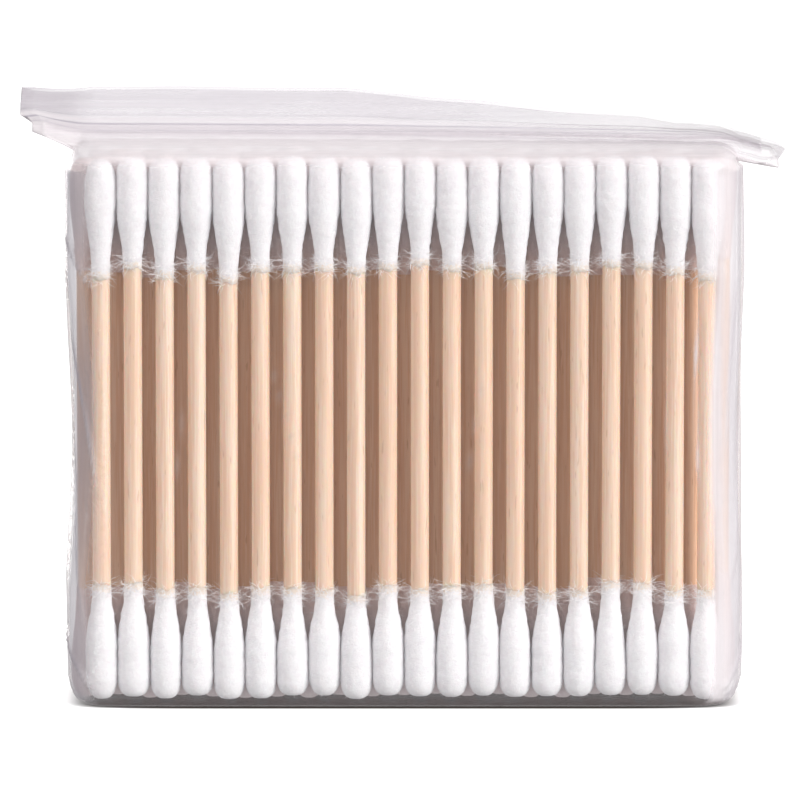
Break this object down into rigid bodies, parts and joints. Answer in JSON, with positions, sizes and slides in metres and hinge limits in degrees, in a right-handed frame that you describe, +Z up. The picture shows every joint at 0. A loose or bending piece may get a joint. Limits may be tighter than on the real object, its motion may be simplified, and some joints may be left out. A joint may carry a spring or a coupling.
{
  "type": "cotton swab pack",
  "caption": "Clear press-seal film bag standing upright, packed tight with double-ended cotton swabs on wooden sticks, its sealed flap laid back over the top.",
  "frame": {"origin": "middle of the flat underside of the bag, on the surface that it stands on", "axes": "+X to the right across the pack, -Y out of its front, +Z up along the swabs"},
  "size_m": [0.1068, 0.0202, 0.0837],
  "materials": {
    "film": "clear soft film, slightly hazy and creased",
    "seal_tape": "clear ribbed profile",
    "birch": "bare sanded birch",
    "cotton": "matt wound cotton"
  },
  "bodies": {
    "root": {"film_bag": "film", "seal_channel_tape": "seal_tape", "seal_rib_tape": "seal_tape", "front_stick_01": "birch", "front_stick_02": "birch", "front_stick_03": "birch", "front_stick_04": "birch", "front_stick_05": "birch", "front_stick_06": "birch", "front_stick_07": "birch", "front_stick_08": "birch", "front_stick_09": "birch", "front_stick_10": "birch", "front_stick_11": "birch", "front_stick_12": "birch", "front_stick_13": "birch", "front_stick_14": "birch", "front_stick_15": "birch", "front_stick_16": "birch", "front_stick_17": "birch", "front_stick_18": "birch", "front_stick_19": "birch", "front_stick_20": "birch", "front_buds_01": "cotton", "front_buds_02": "cotton", "front_buds_03": "cotton", "front_buds_04": "cotton", "front_buds_05": "cotton", "front_buds_06": "cotton", "front_buds_07": "cotton", "front_buds_08": "cotton", "front_buds_09": "cotton", "front_buds_10": "cotton", "front_buds_11": "cotton", "front_buds_12": "cotton", "front_buds_13": "cotton", "front_buds_14": "cotton", "front_buds_15": "cotton", "front_buds_16": "cotton", "front_buds_17": "cotton", "front_buds_18": "cotton", "front_buds_19": "cotton", "front_buds_20": "cotton", "row_2_sticks": "birch", "row_3_sticks": "birch", "row_4_sticks": "birch", "row_5_sticks": "birch", "row_2_buds": "cotton", "row_3_buds": "cotton", "row_4_buds": "cotton", "row_5_buds": "cotton"}
  },
  "joints": []
}
